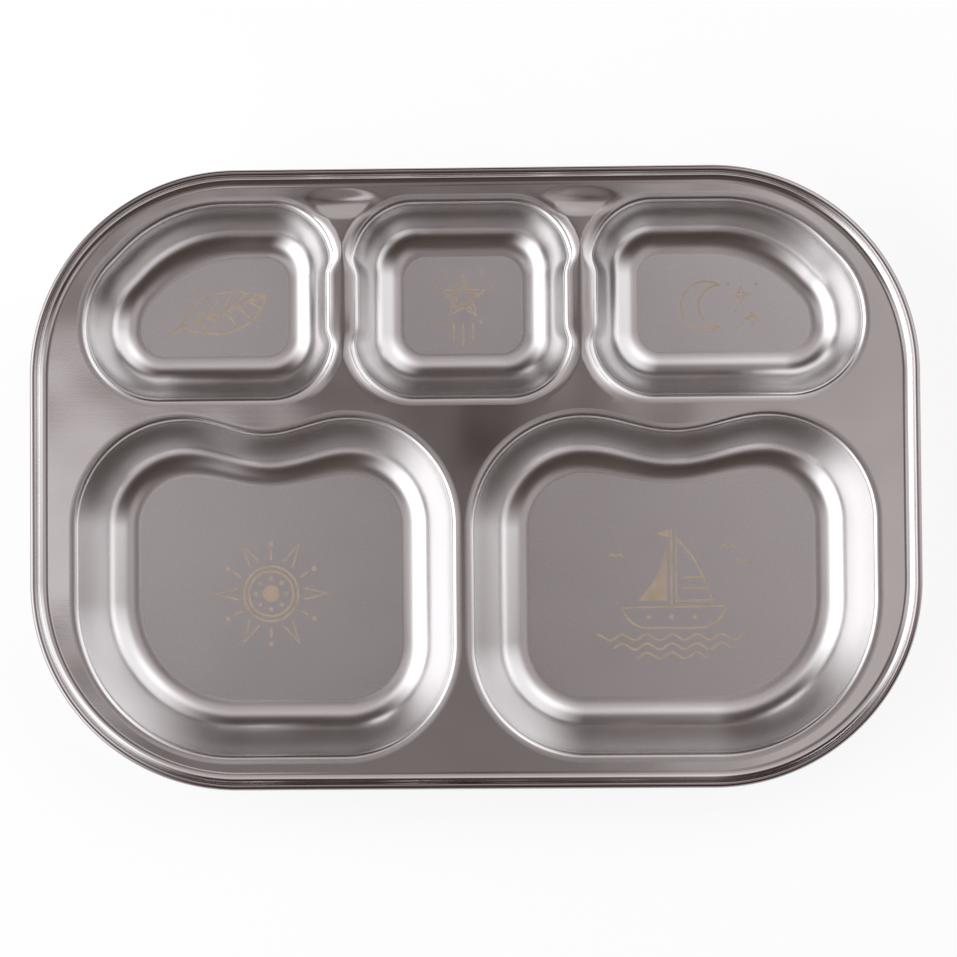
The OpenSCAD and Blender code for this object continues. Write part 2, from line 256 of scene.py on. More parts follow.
class SteelFinish(bpy.types.PropertyGroup):
    """Colours and surface of the steel."""

    rim_colour: FloatVectorProperty(
        name="Rim colour", description="Bright drawn steel of the cove",
        default=(0.80, 0.79, 0.79), size=3, min=0, max=1, subtype="COLOR")
    # The bead is the same sheet as the cove; its darker colour is painted shade, standing in for the dark
    # reflections along the rolled edge
    bead_painted_shade_colour: FloatVectorProperty(
        name="Bead colour", description="Duller steel of the rolled bead",
        default=(0.47, 0.44, 0.44), size=3, min=0, max=1, subtype="COLOR")
    deck_colour: FloatVectorProperty(
        name="Deck colour", description="Semi-gloss rolled steel of the deck",
        default=(0.78, 0.77, 0.77), size=3, min=0, max=1, subtype="COLOR")
    wall_colour: FloatVectorProperty(
        name="Wall colour", description="Satin drawn steel of the well walls",
        default=(0.78, 0.77, 0.77), size=3, min=0, max=1, subtype="COLOR")
    floor_colour: FloatVectorProperty(
        name="Floor colour", description="Fine blasted steel of the well floors",
        default=(0.755, 0.745, 0.745), size=3, min=0, max=1, subtype="COLOR")
    mark_colour: FloatVectorProperty(
        name="Mark colour", description="Tan of the etched marks",
        default=(0.64, 0.53, 0.41), size=3, min=0, max=1, subtype="COLOR")
    rim_roughness: FloatProperty(
        name="Rim roughness", description="Roughness of the rim", default=0.12, min=0, max=1,
        subtype="FACTOR")
    deck_roughness: FloatProperty(
        name="Deck roughness", description="Roughness of the deck", default=0.12, min=0, max=1,
        subtype="FACTOR")
    wall_roughness: FloatProperty(
        name="Wall roughness", description="Roughness of the well walls", default=0.24, min=0, max=1,
        subtype="FACTOR")
    floor_roughness: FloatProperty(
        name="Floor roughness", description="Roughness of the well floors", default=0.31, min=0, max=1,
        subtype="FACTOR")
    line_width: FloatProperty(
        name="Mark width", description="Width of an etched line",
        default=0.68 * MM, min=0.2 * MM, max=1 * MM, unit="LENGTH", precision=5)
    mark_height: FloatProperty(
        name="Mark height", description="How far an etched line stands proud of the floor",
        default=0.02 * MM, min=0.005 * MM, max=0.1 * MM, unit="LENGTH", precision=6)


class StudioSettings(bpy.types.PropertyGroup):
    """Light tent, floor and camera."""

    tent_radius: FloatProperty(
        name="Tent radius", description="Radius of the light tent", default=1.3, min=0.5, max=4,
        unit="LENGTH")
    left_light: FloatProperty(
        name="Left softbox", description="Strength of the left softbox", default=2.0, min=0, max=10)
    right_light: FloatProperty(
        name="Right softbox", description="Strength of the right softbox", default=1.1, min=0, max=10)
    strips: FloatProperty(
        name="Pale strips", description="Strength of the pale strips low in front and at the back",
        default=0.6, min=0, max=4)
    overhead: FloatProperty(
        name="Overhead", description="Strength of the cloth beside the camera", default=0.5, min=0, max=4)
    top: FloatProperty(
        name="Top", description="Strength of the cloth round the camera", default=0.175, min=0, max=4)
    fill: FloatProperty(
        name="Fill", description="Strength of the tent's plain cloth", default=0.045, min=0, max=2)
    lens: FloatProperty(
        name="Lens", description="Focal length of the camera, in millimetres", default=112.85,
        min=20, max=300, unit="CAMERA")


def unit(angle):
    return np.array([math.cos(angle), math.sin(angle)])


class Outline:
    """A closed counter-clockwise outline of corners (x, y, radius, floor radius or None)."""

    def __init__(self, corners):
        self.corners = [tuple(c) + (None,) * (4 - len(c)) for c in corners]
        fit = [min(1, ARC_SHARE / max(self.taken(i), self.taken(i - 1))) for i in range(len(self.corners))]
        self.corners = [(c[0], c[1], c[2] * f, c[3]) for c, f in zip(self.corners, fit)]

    def __len__(self):
        return len(self.corners)

    def at(self, i):
        return np.array(self.corners[i % len(self)][:2])

    def radius(self, i):
        return self.corners[i % len(self)][2]

    def heading(self, i):
        d = self.at(i + 1) - self.at(i)
        return math.atan2(d[1], d[0])

    def turn(self, i):
        return (self.heading(i) - self.heading(i - 1)) % (2 * math.pi)

    def reach(self, i):
        return self.radius(i) * math.tan(self.turn(i) / 2)

    def taken(self, i):
        return (self.reach(i) + self.reach(i + 1)) / np.linalg.norm(self.at(i + 1) - self.at(i))

    def centre(self, i):
        into = self.heading(i - 1)
        return self.at(i) - self.reach(i) * unit(into) + self.radius(i) * unit(into + math.pi / 2)

    def counts(self, step):
        """Mesh steps in each arc and along each edge, for a distance between points."""
        arcs = [max(ARC_STEPS, math.ceil(self.turn(i) * self.radius(i) / step)) for i in range(len(self))]
        edges = []
        for i in range(len(self)):
            length = np.linalg.norm(self.at(i + 1) - self.at(i)) - self.reach(i) - self.reach(i + 1)
            edges.append(max(1, math.ceil(length / step)))
        return arcs, edges

    def points(self, counts):
        """Points round the outline, so that outlines with the same counts match point by point."""
        arcs, edges = counts
        found = []
        for i in range(len(self)):
            into, turn = self.heading(i - 1), self.turn(i)
            for k in range(arcs[i]):
                angle = into - math.pi / 2 + turn * k / arcs[i]
                found.append(self.centre(i) + self.radius(i) * unit(angle))
            out = unit(self.heading(i) - math.pi / 2)
            a = self.centre(i) + self.radius(i) * out
            b = self.centre(i + 1) + self.radius(i + 1) * out
            found.extend(a + (b - a) * k / edges[i] for k in range(edges[i]))
        return np.array(found)

    def inset(self, run, least):
        """The outline moved inwards by a run, as the outline of a floor."""
        moved = []
        for i, (_, _, radius, floor_radius) in enumerate(self.corners):
            half = self.turn(i) / 2
            p = self.at(i) + run / math.cos(half) * unit(self.heading(i) - half + math.pi / 2)
            moved.append((p[0], p[1], floor_radius or max(radius - run, least)))
        return Outline(moved)


def smooth(x):
    """Falls from 1 at 0 to 0 at 1 and beyond, as a cosine."""
    return (1 + np.cos(np.pi * np.clip(x, 0, 1))) / 2


class Well:
    """Mouth and floor outlines of one well, with its wave or its pinches."""

    def __init__(self, name, sizes):
        low, high = node_box(f"{name}_well_wall")
        x0, y0, x1, y1 = low[0], low[1], high[0], high[1]
        s = sizes
        inner, outer = s.front_inner_radius, s.front_outer_radius
        self.waved, pinched = -1, ()
        self.run, self.foot = s.back_run, s.back_foot_radius
        if name.startswith("front"):
            self.run, self.foot = s.front_run, s.front_foot_radius
        if name == "front_left":
            corners = [(x1, y0, inner), (x1, y1, s.front_back_radius), (x0, y1, s.front_back_radius),
                       (x0, y0, outer)]
            self.waved = 1
        elif name == "front_right":
            corners = [(x1, y0, outer), (x1, y1, s.front_back_radius), (x0, y1, inner), (x0, y0, inner)]
            self.waved = 1
        elif name == "back_centre":
            corners = [(x, y, s.back_inner_radius) for x, y in ((x1, y0), (x1, y1), (x0, y1), (x0, y0))]
            pinched = (-1, 1)
        else:
            side = 1 if name == "back_right" else -1
            end = FRONT_HIGH[0] if side > 0 else FRONT_LOW[0]
            inside = x0 if side > 0 else x1
            corners = [(end, y0, s.sweep_front_radius),
                       (end - side * s.sweep_mid_in, y1 - s.sweep_mid_down, s.sweep_mid_radius),
                       (end - side * s.sweep_back_in, y1, s.sweep_back_radius, s.sweep_floor_radius),
                       (inside, y1, s.back_inner_radius),
                       (inside, y0, s.back_inner_radius)]
            corners = corners if side > 0 else corners[::-1]
            pinched = (-side,)
        top = Outline(corners)
        bottom = top.inset(self.run, s.floor_corner_radius)
        counts = top.counts(s.mesh_step)
        self.mouth = self.shaped(top, counts, s.wave_mouth)
        self.floor = self.shaped(bottom, counts, s.wave_floor)
        sides = np.sign(self.mouth[:, 0] - (x0 + x1) / 2)
        past = (np.abs(self.mouth[:, 1] - (y0 + y1) / 2) - s.pinch_length / 2) / s.pinch_ramp
        pinch = np.where(np.isin(sides, pinched), -sides * s.pinch_depth * smooth(past), 0)
        self.pinch = np.column_stack([pinch, np.zeros(len(pinch))])
        self.fade = s.pinch_fade
        self.lip = self.at(-s.shoulder_width)

    def at(self, run):
        """The outline of the wall at a run inwards from the mouth; the pinch fades below the lip."""
        plain = self.mouth + (self.floor - self.mouth) * run / self.run
        return plain + self.pinch * smooth(run / self.fade)

    def shaped(self, outline, counts, wave):
        points = outline.points(counts)
        x, y = points[:, 0].copy(), points[:, 1].copy()
        if self.waved >= 0:
            a, b = outline.centre(self.waved)[0], outline.centre(self.waved + 1)[0]
            edge = outline.at(self.waved)[1] - outline.radius(self.waved)
            fall = wave * smooth(np.abs(x - (a + b) / 2) / (abs(a - b) / 2))
            y = np.where(y >= edge, y - fall, y)
        return np.stack([x, y], 1)


class DeckRelief:
    """Shallow shapes that drawing the back wells leaves in the deck.

    Two hollows lie behind the dividers, and the deck falls softly to each mouth beside a divider.
    """

    def __init__(self, sizes):
        boxes = [node_box(f"back_{side}_well_wall") for side in ("left", "centre", "right")]
        self.hollows, self.banks = [], []
        self.hollow_depth, self.radius = sizes.hollow_depth, sizes.back_inner_radius
        self.width, self.fall = sizes.bank_width, sizes.bank_depth
        self.middle = (boxes[1][0][1] + boxes[1][1][1]) / 2
        self.length, self.ramp = sizes.pinch_length, sizes.pinch_ramp
        self.pinch_depth = sizes.pinch_depth
        for (low, high), (next_low, next_high) in zip(boxes, boxes[1:]):
            self.hollows.append(np.array([(high[0] + next_low[0]) / 2, boxes[1][1][1] - HOLLOW_IN]))
            self.banks.append((low, high, 1))
            self.banks.append((next_low, next_high, -1))

    def pinch_at(self, y):
        """Share of the full pinch at a place along Y."""
        return smooth((np.abs(y - self.middle) - self.length / 2) / self.ramp)

    def places(self):
        """Rectangles that hold the shapes."""
        front = self.banks[0][0][1]
        return [((c[0] - HOLLOW_HALF[0], front), tuple(c + HOLLOW_HALF)) for c in self.hollows]

    def at(self, flat):
        """How far each point lies below the flat deck, and the slope of that along X and Y."""
        depth, slope = np.zeros(len(flat)), np.zeros((len(flat), 2))
        for centre in self.hollows:
            off = (flat - centre) / HOLLOW_HALF
            left = np.maximum(0, 1 - (off ** 2).sum(1))
            depth += self.hollow_depth * left ** 2
            slope -= (4 * self.hollow_depth * left)[:, None] * off / HOLLOW_HALF
        for low, high, side in self.banks:
            corner = (high[:2] - low[:2]) / 2 - self.radius
            off = flat - (low[:2] + high[:2]) / 2
            past = np.maximum(np.abs(off) - corner, 0)
            away = np.linalg.norm(past, axis=1)
            towards = past * np.sign(off) / np.maximum(away, TINY)[:, None]
            pinch = self.pinch_at(flat[:, 1])
            width = self.width + pinch * self.pinch_depth
            left = np.clip(1 - (away - self.radius + pinch * self.pinch_depth) / width, 0, 1)
            share = smooth((1 - side * towards[:, 0]) / BANK_TURN) * (1 - BANK_PINCH_LOSS * pinch)
            behind = smooth((self.middle - flat[:, 1]) / BANK_FRONT_RAMP)
            share *= BANK_FRONT_SHARE + (1 - BANK_FRONT_SHARE) * behind
            depth += self.fall * share * left ** BANK_CURVE
            steep = BANK_CURVE * self.fall / width * share * left ** (BANK_CURVE - 1) * (left < 1)
            slope -= steep[:, None] * towards
        return depth, slope


def facing(slope):
    """Unit normal of a wall at a slope, as run inwards and fall."""
    return np.array([math.sin(slope), -math.cos(slope)])


def wall_section(run, foot, sizes, steps=16):
    """Section of a wall as rows of run from the mouth, fall from the deck and slope.

    A shallow shoulder leads to the lip, which bends out; a bowed wall and a tighter foot bend back.
    """
    lip, lead = sizes.lip_radius, sizes.shoulder_slope
    depth = float(DECK_HIGH[2]) - SHEET
    shoulder = sizes.shoulder_width / math.sin(lead)
    above = np.array([-sizes.shoulder_width, shoulder])
    lip_centre = above + (lip - shoulder) * -facing(lead)
    foot_centre = np.array([run, depth - foot])
    across = foot_centre - lip_centre
    bends = lip + foot
    more = (across @ across - bends ** 2) / (2 * (bends - across @ facing(sizes.foot_slope)))
    bow = foot + more
    bow_centre = foot_centre + more * facing(sizes.foot_slope)
    toward = bow_centre - lip_centre
    steep = math.atan2(toward[0], -toward[1])
    rows = []
    for centre, radius, first, last in ((above, -shoulder, 0, lead),
                                        (lip_centre, -lip, lead, steep),
                                        (bow_centre, bow, steep, sizes.foot_slope),
                                        (foot_centre, foot, sizes.foot_slope, 0)):
        for slope in np.linspace(first, last, steps)[bool(rows):]:
            rows.append((*(centre - radius * facing(slope)), slope))
    return np.array(rows)


def ring_tangent(ring):
    return np.roll(ring, -1, 0) - np.roll(ring, 1, 0)


def unit_rows(vectors):
    return vectors / np.linalg.norm(vectors, axis=-1, keepdims=True)


def make_object(name, points, faces, normals=(), smooth_count=0):
    """A mesh object whose first faces are smooth, with the given vertex normals, and the rest flat."""
    mesh = bpy.data.meshes.new(name)
    mesh.from_pydata([tuple(p) for p in points], [], faces)
    mesh.update()
    if smooth_count:
        split = []
        for polygon in mesh.polygons:
            polygon.use_smooth = True
            for vertex in polygon.vertices:
                split.append(normals[vertex] if polygon.index < smooth_count else polygon.normal)
        mesh.normals_split_custom_set([tuple(n) for n in split])
    made = bpy.data.objects.new(name, mesh)
    bpy.context.scene.collection.objects.link(made)
    return made


def shell(name, points, faces, normals, borders, thickness):
    """A sheet of a given thickness under an upper face, with an edge strip along each border.

    The strips have their own vertices, so that they don't bend the shading of the faces beside them.
    """
    count = len(points)
    below = points - normals * thickness
    lower = [tuple(v + count for v in reversed(face)) for face in faces]
    rows, strips, start = [points, below], [], 2 * count
    for border in borders:
        n = len(border)
        rows += [points[border], below[border]]
        for i in range(n):
            j = (i + 1) % n
            strips.append((start + j, start + i, start + n + i, start + n + j))
        start += 2 * n
    return make_object(name, np.vstack(rows), faces + lower + strips, np.vstack([normals, -normals]),
                       2 * len(faces))


def ring_sheet(name, rings, normals, thickness):
    """A sheet made of closed rings of points, seen from the side that the normals point to."""
    rows, count = rings.shape[:2]
    faces = []
    for k in range(rows - 1):
        for i in range(count):
            j = (i + 1) % count
            faces.append((k * count + i, k * count + j, (k + 1) * count + j, (k + 1) * count + i))
    first, last = np.arange(count), np.arange(count) + (rows - 1) * count
    return shell(name, rings.reshape(-1, 3), faces, normals.reshape(-1, 3), [first[::-1], last],
                 thickness)


def inside(points, loop):
    """Whether each point lies inside a closed loop."""
    x, y = points[:, 0], points[:, 1]
    found = np.zeros(len(points), bool)
    for (xa, ya), (xb, yb) in zip(loop, np.roll(loop, -1, 0)):
        if ya != yb:
            crosses = (ya > y) != (yb > y)
            found ^= crosses & (x < (xb - xa) * (y - ya) / (yb - ya) + xa)
    return found


def between(points, loops):
    """Whether each point lies inside the first loop and outside the others."""
    found = inside(points, loops[0])
    for loop in loops[1:]:
        found &= ~inside(points, loop)
    return found


def grid_points(low, high, step):
    """Points in staggered rows over a rectangle."""
    gx, gy = np.meshgrid(np.arange(low[0] + step, high[0], step), np.arange(low[1] + step, high[1], step))
    gx = gx + step / 2 * (np.arange(gx.shape[0]) % 2)[:, None]
    return np.stack([gx.ravel(), gy.ravel()], 1)


def filled(loops, step, detailed=()):
    """Triangles that fill the first loop round the others, with inner points a step apart.

    The detailed rectangles get points in finer steps.
    """
    border = np.vstack(loops)
    tree = KDTree(len(border))
    for i, p in enumerate(border):
        tree.insert((p[0], p[1], 0), i)
    tree.balance()
    coarse = grid_points(loops[0].min(0), loops[0].max(0), step)
    for low, high in detailed:
        coarse = coarse[~((coarse > low) & (coarse < high)).all(1)]
    grid, fine = [], step / FINER
    for points, room in ((coarse, step), *((grid_points(*box, fine), fine) for box in detailed)):
        points = points[between(points, loops)]
        grid.extend(p for p in points if tree.find((p[0], p[1], 0))[2] > room * LEAST_ROOM)
    edges, start = [], 0
    for loop in loops:
        ids = np.arange(len(loop)) + start
        edges.extend((int(a), int(b)) for a, b in zip(ids, np.roll(ids, -1)))
        start += len(loop)
    flat = np.vstack([*loops, np.array(grid)])
    out = delaunay_2d_cdt([Vector(p) for p in flat], edges, [], 0, SAME_POINT)
    points = np.array([tuple(v) for v in out[0]])
    corners = np.array(out[2])
    faces = [tuple(int(v) for v in face) for face in corners[between(points[corners].mean(1), loops)]]
    origin = [ids[0] if ids else -1 for ids in out[3]]
    place = {old: new for new, old in enumerate(origin)}
    borders, start = [], 0
    for loop in loops:
        borders.append(np.array([place[start + i] for i in range(len(loop))]))
        start += len(loop)
    return points, faces, borders


def rim_path(distance, sizes, corner_steps=56, side_steps=12):
    """Points round the tray at a distance in from its edge, matching for every distance."""
    radius = sizes.corner_radius
    half = np.array([RIM_HIGH[0], RIM_HIGH[1]]) - radius
    centres = np.array([(1, 1), (-1, 1), (-1, -1), (1, -1)]) * half
    points = []
    for quarter, (centre, following) in enumerate(zip(centres, np.roll(centres, -1, 0))):
        start = quarter * math.pi / 2
        for k in range(corner_steps):
            angle = start + math.pi / 2 * k / corner_steps
            points.append(centre + (radius - distance) * unit(angle))
        out = (radius - distance) * unit(start + math.pi / 2)
        a, b = centre + out, following + out
        points.extend(a + (b - a) * k / side_steps for k in range(side_steps))
    return np.array(points)


def swept(name, section, sizes):
    """A sheet swept round the rim from a section of rows: distance in, height and slope of the normal."""
    rings, normals = [], []
    for distance, height, lean in section:
        flat = rim_path(distance, sizes)
        out = unit_rows(ring_tangent(flat)[:, ::-1] * np.array([1, -1]))
        rings.append(np.column_stack([flat, np.full(len(flat), height)]))
        normals.append(np.column_stack([out * math.cos(lean), np.full(len(flat), math.sin(lean))]))
    return ring_sheet(name, np.array(rings), np.array(normals), SHEET)


class Finish:
    """A new material and its node tree, with the steps that the finishes share."""

    def __init__(self, name, plain=False):
        self.made = bpy.data.materials.new(name)
        self.made.use_nodes = True
        self.nodes, self.links = self.made.node_tree.nodes, self.made.node_tree.links
        if plain:
            self.nodes.clear()
            self.out = self.nodes.new("ShaderNodeOutputMaterial")
        else:
            self.shader = self.nodes["Principled BSDF"]
            self.place = self.nodes.new("ShaderNodeTexCoord").outputs["Object"]

    def cells(self, scale, detail=2.0, place=None):
        """Cloudy pattern with a number of cells per metre."""
        noise = self.nodes.new("ShaderNodeTexNoise")
        noise.inputs["Scale"].default_value = scale
        noise.inputs["Detail"].default_value = detail
        self.links.new(self.place if place is None else place, noise.inputs["Vector"])
        return noise.outputs["Fac"]

    def colour(self, colour, uneven, pattern):
        """Base colour that runs with a pattern, from a share below the colour to a share above."""
        tone = self.nodes.new("ShaderNodeMix")
        tone.data_type = "RGBA"
        tone.inputs["A"].default_value = (*[(1 - uneven) * c for c in colour], 1)
        tone.inputs["B"].default_value = (*[min(1, (1 + uneven) * c) for c in colour], 1)
        self.links.new(pattern, tone.inputs["Factor"])
        self.links.new(tone.outputs["Result"], self.shader.inputs["Base Color"])

    def bump(self, height, distance):
        """Relief of a height, which is 1 at a distance in metres."""
        bump = self.nodes.new("ShaderNodeBump")
        bump.inputs["Distance"].default_value = distance
        self.links.new(height, bump.inputs["Height"])
        return bump


def metal(name, colour, roughness, grain, grain_depth, streak=0.0, ripple=0.0, speckle=0.04):
    """Steel with fine grain, soft streaks of the rolling, slightly uneven gloss and shallow ripples.

    The grain is in cells per metre, its depth and the ripple's in metres, the streak a share of the depth
    and the speckle a share of the colour.
    """
    steel = Finish(name)
    nodes, links = steel.nodes, steel.links
    steel.shader.inputs["Metallic"].default_value = 1.0
    fine = steel.cells(grain, detail=3.0)
    stretch = nodes.new("ShaderNodeMapping")
    stretch.inputs["Scale"].default_value = ROLLING_CELLS
    links.new(steel.place, stretch.inputs["Vector"])
    lines = steel.cells(1.0, detail=4.0, place=stretch.outputs["Vector"])
    gloss = nodes.new("ShaderNodeMapRange")
    gloss.inputs["To Min"].default_value = roughness - GLOSS_SPREAD
    gloss.inputs["To Max"].default_value = roughness + GLOSS_SPREAD
    links.new(steel.cells(GLOSS_CELLS), gloss.inputs["Value"])
    links.new(gloss.outputs["Result"], steel.shader.inputs["Roughness"])
    steel.colour(colour, speckle, fine)
    total = nodes.new("ShaderNodeMath")
    total.operation = "MULTIPLY_ADD"
    total.inputs[1].default_value = streak
    links.new(lines, total.inputs[0])
    links.new(fine, total.inputs[2])
    bump = steel.bump(total.outputs["Value"], grain_depth)
    if ripple:
        bend = steel.bump(steel.cells(RIPPLE_CELLS, detail=1.0), ripple)
        links.new(bend.outputs["Normal"], bump.inputs["Normal"])
    links.new(bump.outputs["Normal"], steel.shader.inputs["Normal"])
    return steel.made


def etched(name, colour, oxide_cells=260.0, uneven=0.2):
    """Tan oxide of an etched line, matt and a little uneven."""
    oxide = Finish(name)
    oxide.shader.inputs["Metallic"].default_value = 0.3
    oxide.shader.inputs["Roughness"].default_value = 0.5
    oxide.colour(colour, uneven, oxide.cells(oxide_cells, detail=3.0))
    return oxide.made


def finish_piece(piece, nodes, material):
    """Puts a piece on the body, in the place of its nodes, with its finish."""
    piece.data.materials.append(material)
    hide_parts(*nodes)
    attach(piece, BODY)


class TRAY_OT_rim(bpy.types.Operator):
    """Rolls the rim: the bead along the edge and the cove inside it"""

    bl_idname = "tray.rim"
    bl_label = "Rolled rim"

    def execute(self, context):
        sizes, finish = context.scene.tray_sizes, context.scene.steel_finish
        radius = sizes.bead_diameter / 2
        bead_z = float(RIM_HIGH[2]) - radius
        curl = [(radius + radius * math.cos(a), bead_z + radius * math.sin(a), math.pi - a)
                for a in np.linspace(0, sizes.bead_turn, BEAD_STEPS + 1)]
        drawn = {"roughness": finish.rim_roughness, "grain": 2500, "grain_depth": 0.000003, "ripple": 0.0001}
        # Same steel as the cove with a darker colour: painted shade for the dark reflections along the
        # rolled bead
        bead_shade_steel = metal("bead_with_painted_shade", finish.bead_painted_shade_colour, **drawn)
        bead = swept("rolled_edge", curl[::-1], sizes)
        finish_piece(bead, ["rim_curl"], bead_shade_steel)
        steel = metal("bright_rim", finish.rim_colour, **drawn)
        width, fall = RIM_WIDTH - sizes.bead_diameter, bead_z - float(DECK_HIGH[2])
        cove = []
        for a in np.linspace(0, math.pi / 2, COVE_STEPS + 1):
            lean = math.atan2(width * math.sin(a), -fall * math.cos(a))
            cove.append((RIM_WIDTH - width * math.cos(a), bead_z - fall * math.sin(a), lean))
        step = swept("rim_cove", cove, sizes)
        finish_piece(step, ["rim_step"], steel)
        return {"FINISHED"}


class TRAY_OT_deck(bpy.types.Operator):
    """Presses the flat deck between the rim and the wells"""

    bl_idname = "tray.deck"
    bl_label = "Deck"

    def execute(self, context):
        sizes, finish = context.scene.tray_sizes, context.scene.steel_finish
        loops = [rim_path(RIM_WIDTH, sizes)] + [Well(name, sizes).lip for name in WELLS]
        relief = DeckRelief(sizes)
        flat, faces, borders = filled(loops, 2 * sizes.mesh_step, relief.places())
        borders = [borders[0]] + [b[::-1] for b in borders[1:]]
        depth, slope = relief.at(flat)
        points = np.column_stack([flat, DECK_HIGH[2] - depth])
        normals = unit_rows(np.column_stack([slope, np.ones(len(flat))]))
        steel = metal("rolled_deck", finish.deck_colour, finish.deck_roughness, grain=1800,
                      grain_depth=0.000005, streak=0.5, ripple=0.0007)
        deck = shell("deck_sheet", points, faces, normals, borders, SHEET)
        finish_piece(deck, ["deck"], steel)
        return {"FINISHED"}


class TRAY_OT_well_sides(bpy.types.Operator):
    """Draws the wall of each well, from its lip to its foot"""

    bl_idname = "tray.well_sides"
    bl_label = "Well walls"

    def execute(self, context):
        sizes, finish = context.scene.tray_sizes, context.scene.steel_finish
        steel = metal("drawn_wall", finish.wall_colour, finish.wall_roughness, grain=2000,
                      grain_depth=0.000003, ripple=0.00012)
        relief = DeckRelief(sizes)
        for name in WELLS:
            well = Well(name, sizes)
            rings, normals = [], []
            for run, fall, slope in wall_section(well.run, well.foot, sizes):
                flat = well.at(run)
                inwards = (well.at(run + PROBE) - well.at(run - PROBE)) / (2 * PROBE)
                depth, tilt = relief.at(flat)
                depth, tilt = (part * smooth(run / well.fade) for part in (depth, tilt))
                along = np.column_stack([ring_tangent(flat), np.zeros(len(flat))])
                down = np.column_stack([inwards * math.cos(slope), np.full(len(flat), -math.sin(slope))])
                across = unit_rows(np.cross(along, down))
                across[:, :2] += tilt * across[:, 2:]
                rings.append(np.column_stack([flat, DECK_HIGH[2] - fall - depth]))
                normals.append(unit_rows(across))
            side = ring_sheet(f"{name}_drawn_wall", np.array(rings), np.array(normals), SHEET)
            finish_piece(side, [f"{name}_well_wall"], steel)
        return {"FINISHED"}


class TRAY_OT_well_floors(bpy.types.Operator):
    """Fills the floor of each well"""

    bl_idname = "tray.well_floors"
    bl_label = "Well floors"

    def execute(self, context):
        sizes, finish = context.scene.tray_sizes, context.scene.steel_finish
        steel = metal("blasted_floor", finish.floor_colour, finish.floor_roughness, grain=1500,
                      grain_depth=0.000012, ripple=0.0002, speckle=0.1)
        for name in WELLS:
            flat, faces, borders = filled([Well(name, sizes).floor], 4 * sizes.mesh_step)
            points = np.column_stack([flat, np.full(len(flat), SHEET)])
            normals = np.tile([0.0, 0.0, 1.0], (len(flat), 1))
            floor = shell(f"{name}_floor_panel", points, faces, normals, borders, SHEET)
            finish_piece(floor, [f"{name}_well_floor"], steel)
        return {"FINISHED"}


def lights_in(direction, studio):
    """Glow of the tent in each direction, as rows of unit vectors: cloth, lights and shades."""
    azimuth = np.degrees(np.arctan2(direction[:, 1], direction[:, 0]))
    height = np.degrees(np.arcsin(np.clip(direction[:, 2], -1, 1)))

    def lit(level, at, half, spread, low, high, soft):
        off = np.abs((azimuth - at + 180) % 360 - 180)
        up = smooth((low - height) / soft) * smooth((height - high) / soft)
        return (level - studio.fill) * smooth((off - half) / spread) * up

    glow = studio.fill + (studio.top - studio.fill) * smooth((TOP_LOW - height) / TOP_FADE)
    for setting, share, *place in LIGHTS:
        glow += lit(share * getattr(studio, setting), *place)
    glow *= 1 - CAMERA_SHADE * smooth((90 - height) / CAMERA_FADE)
    glow *= 1 - lit(*BACK_SHADE)
    up = math.radians(SPOT_HEIGHT)
    spot = [*(math.cos(up) * unit(math.radians(SPOT_AZIMUTH))), math.sin(up)]
    away = np.degrees(np.arccos(np.clip(direction @ spot, -1, 1)))
    glow *= 1 - SPOT_SHARE * smooth((away - SPOT_HALF) / SPOT_FADE)
    return np.maximum(glow, 0)


def arc(centre, radius, start, end, steps=24):
    """Points of an arc between two angles in degrees."""
    return [np.array(centre) + radius * unit(math.radians(a)) for a in np.linspace(start, end, steps + 1)]


def star_points(centre, long, short, points, turn=90):
    """Corners of a star with long and short radii."""
    return [np.array(centre) + (short if k % 2 else long) * unit(math.radians(turn + 180 * k / points))
            for k in range(2 * points)]


def bent(through, steps=8):
    """A smooth line through a few points."""
    p = np.array([through[0], *through, through[-1]], float)
    line = []
    for a, b, c, d in zip(p, p[1:], p[2:], p[3:]):
        for t in np.linspace(0, 1, steps, endpoint=False):
            line.append(((2 * b) + (c - a) * t + (2 * a - 5 * b + 4 * c - d) * t ** 2
                         + (3 * b - a - 3 * c + d) * t ** 3) / 2)
    return [*line, p[-1]]


# Each motif gives its closed lines, its open lines and its filled shapes, in millimetres round its middle.


def sun_motif():
    closed = [arc((0, 0), 8.4, 0, 352.5, 47), arc((0, 0), 6.9, 0, 350, 35)]
    lines, solid = [], []
    for k in range(12):
        way = unit(math.radians(30 * k))
        if k % 2:
            lines.append([way * 10.4, way * 13.4])
            solid.append(arc(way * 15.4, 0.8, 0, 330, 11))
        else:
            side = unit(math.radians(30 * k + 90))
            lines.append([way * 10.2 - side * 1.7, way * 17.6, way * 10.2 + side * 1.7])
    for k in range(8):
        solid.append(arc(4.7 * unit(math.radians(45 * k)), 0.7, 0, 315, 7))
    solid.append(arc((0, 0), 2.6, 0, 345, 23))
    return closed, lines, solid


